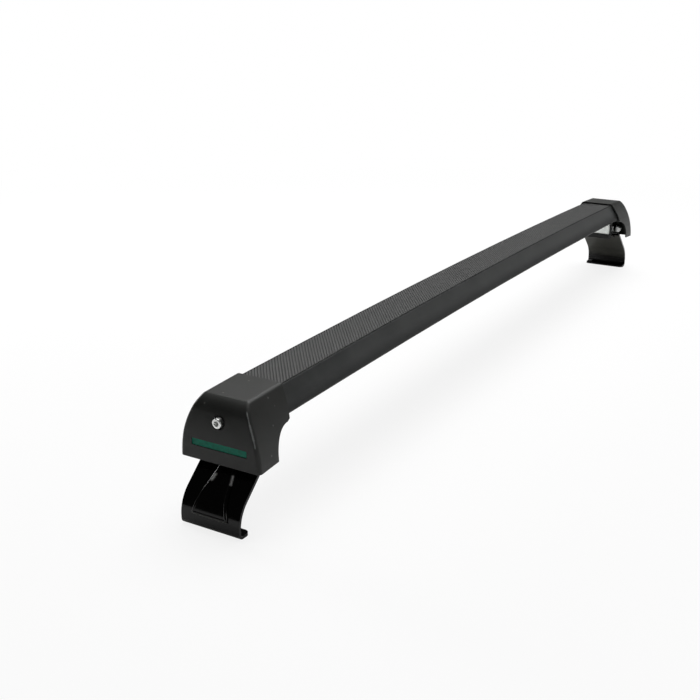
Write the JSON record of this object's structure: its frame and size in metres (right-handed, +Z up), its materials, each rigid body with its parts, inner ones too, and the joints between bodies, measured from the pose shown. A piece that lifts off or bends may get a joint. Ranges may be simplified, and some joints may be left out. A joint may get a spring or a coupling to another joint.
{
  "type": "roof rack crossbar",
  "caption": "Arched black roof rack crossbar with a ribbed rubber strip and clamp feet whose pressed steel hooks swing in under a car's door frames.",
  "frame": {"origin": "centre of the bar's length and width, on the plane of the hooks' undersides", "axes": "+X along the bar, +Y across it, +Z up"},
  "size_m": [1.2144, 0.096, 0.1338],
  "materials": {
    "bar_coat": "satin black powder coat",
    "strip_rubber": "matte ribbed",
    "cover_plastic": "fine grain black",
    "badge_green": "gloss",
    "zinc_plate": "zinc plated",
    "bright_fastener": "bright zinc",
    "pad_rubber": "matte",
    "gloss_black_steel": "gloss black coat"
  },
  "bodies": {
    "frame": {"crossbar": "bar_coat", "grip_strip": "strip_rubber", "foot_cover_right": "cover_plastic", "badge_inlay_right": "badge_green", "foot_bracket_right": "zinc_plate", "bracket_rivets_right": "bright_fastener", "roof_pad_right": "pad_rubber", "pivot_bolt_right": "bright_fastener", "pivot_nut_right": "bright_fastener", "pivot_washers_right": "gloss_black_steel", "screw_washer_right": "pad_rubber", "foot_cover_left": "cover_plastic", "badge_inlay_left": "badge_green", "foot_bracket_left": "zinc_plate", "bracket_rivets_left": "bright_fastener", "roof_pad_left": "pad_rubber", "pivot_bolt_left": "bright_fastener", "pivot_nut_left": "bright_fastener", "pivot_washers_left": "gloss_black_steel", "screw_washer_left": "pad_rubber"},
    "clip_right": {"hook_clip_right": "gloss_black_steel"},
    "nut_right": {"barrel_nut_right": "bright_fastener"},
    "screw_right": {"tension_screw_right": "bright_fastener"},
    "clip_left": {"hook_clip_left": "gloss_black_steel"},
    "nut_left": {"barrel_nut_left": "bright_fastener"},
    "screw_left": {"tension_screw_left": "bright_fastener"}
  },
  "joints": [
    {"name": "clip_swing_right", "type": "hinge", "parent": "frame", "child": "clip_right", "pos_m": [0.56, 0, 0.0805], "axis": [0, 1, 0], "range_deg": [0, 20]},
    {"name": "nut_draw_right", "type": "slide", "parent": "frame", "child": "nut_right", "axis": [1, 0, 0], "range_m": [0, 0.0094]},
    {"name": "screw_turn_right", "type": "hinge", "parent": "frame", "child": "screw_right", "pos_m": [0.586, 0, 0.107], "axis": [-1, 0, 0], "range_deg": [0, 3400]},
    {"name": "clip_swing_left", "type": "hinge", "parent": "frame", "child": "clip_left", "pos_m": [-0.56, 0, 0.0805], "axis": [0, -1, 0], "range_deg": [0, 20]},
    {"name": "nut_draw_left", "type": "slide", "parent": "frame", "child": "nut_left", "axis": [-1, 0, 0], "range_m": [0, 0.0094]},
    {"name": "screw_turn_left", "type": "hinge", "parent": "frame", "child": "screw_left", "pos_m": [-0.586, 0, 0.107], "axis": [1, 0, 0], "range_deg": [0, 3400]}
  ],
  "couplings": [
    {"joint": "nut_draw_right", "follows": "clip_swing_right", "m_per_rad": 0.026772},
    {"joint": "screw_turn_right", "follows": "clip_swing_right", "ratio": 168.21},
    {"joint": "nut_draw_left", "follows": "clip_swing_left", "m_per_rad": 0.026772},
    {"joint": "screw_turn_left", "follows": "clip_swing_left", "ratio": 168.21}
  ]
}
